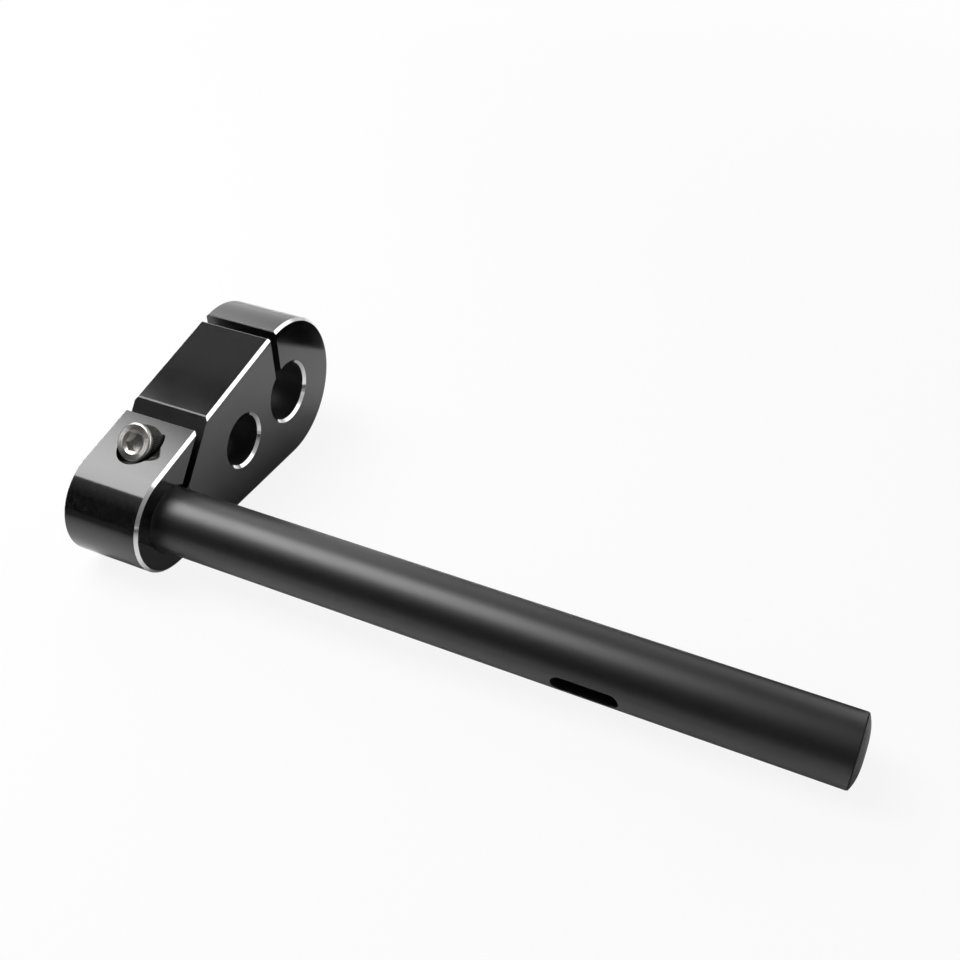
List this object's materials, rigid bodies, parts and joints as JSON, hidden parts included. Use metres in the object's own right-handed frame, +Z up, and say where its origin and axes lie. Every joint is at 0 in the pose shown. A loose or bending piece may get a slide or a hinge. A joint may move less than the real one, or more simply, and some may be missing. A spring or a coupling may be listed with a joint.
{
  "type": "handlebar riser",
  "caption": "Clamp-on handlebar riser: a slit metal body grips a bar at one end and holds a straight hollow grip tube, with a wire slot and an end plug, at the other.",
  "frame": {"origin": "centre of the mount bore, half way through the clamp body's width", "axes": "+X along the grip tube towards its plugged outer end, which is also the mount bore's axis; +Y along the body from the bar bore towards the mount bore, parallel to the flat lower face; +Z up, square to that lower face, on the side where the slits open"},
  "size_m": [0.2592, 0.1194, 0.056],
  "materials": {
    "black_anodised": "smooth black anodised, bare bright metal on the chamfers",
    "matt_black_tube": "bead-blasted matt black anodised",
    "end_plug": "moulded matt black",
    "stainless_screw": "bright stainless, straight knurl round the head"
  },
  "bodies": {
    "root": {"clamp_body": "black_anodised", "handlebar_tube": "matt_black_tube", "bar_end_plug": "end_plug", "bar_clamp_bolt": "stainless_screw", "mount_clamp_bolt": "stainless_screw"}
  },
  "joints": []
}
